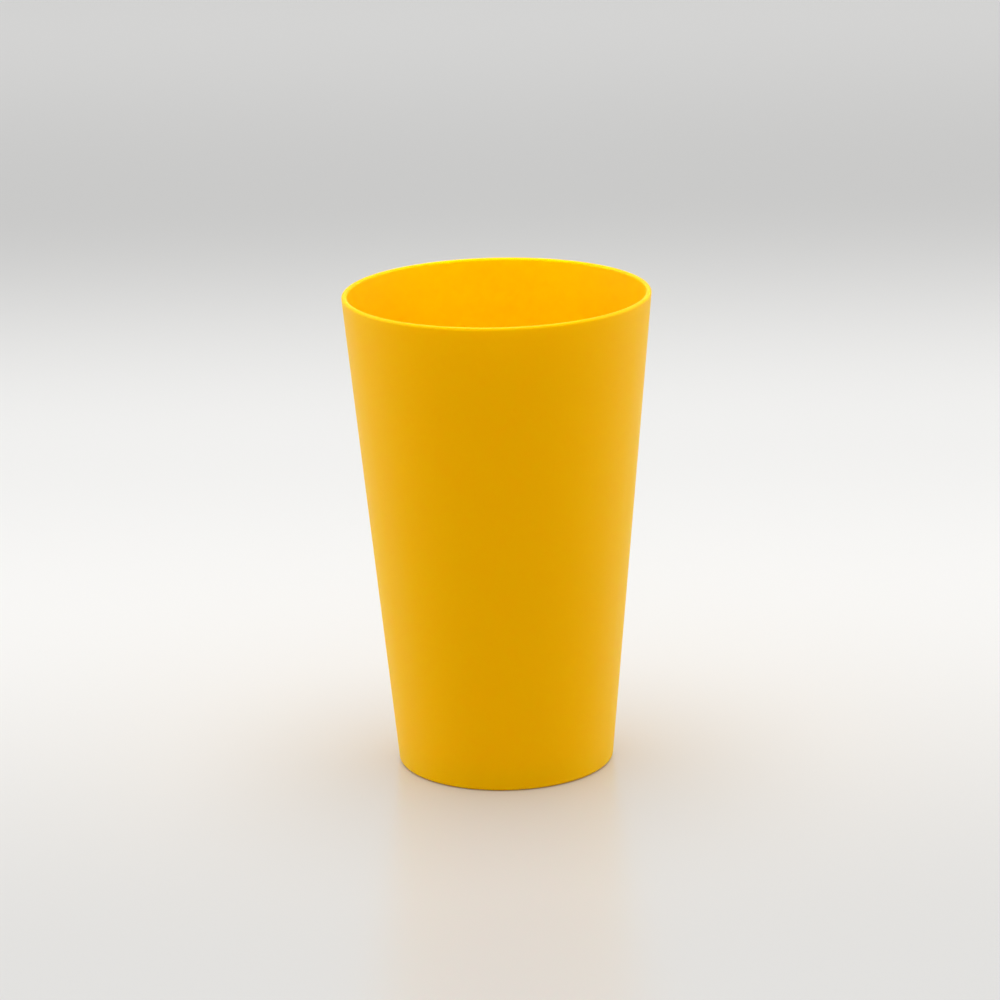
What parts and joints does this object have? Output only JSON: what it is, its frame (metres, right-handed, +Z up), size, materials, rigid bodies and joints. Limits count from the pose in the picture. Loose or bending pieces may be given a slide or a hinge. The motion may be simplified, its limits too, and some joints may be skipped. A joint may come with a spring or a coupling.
{
  "type": "reusable cup",
  "caption": "Tall one-piece plastic drinking cup with a plain tapered side, a lip rounded over its full thickness, and a ring foot around a shallow hollow underneath.",
  "frame": {"origin": "on the cup's axis, in the plane of the foot ring that touches the table", "axes": "+Z up the cup's axis, from the foot to the lip; the cup is round, so +X and +Y are any two directions across it, and the picture looks along +Y from a little above"},
  "size_m": [0.084, 0.084, 0.133],
  "materials": {
    "polypropylene": "opaque yellow, satin as it comes from the mould"
  },
  "bodies": {
    "root": {"cup": "polypropylene"}
  },
  "joints": []
}
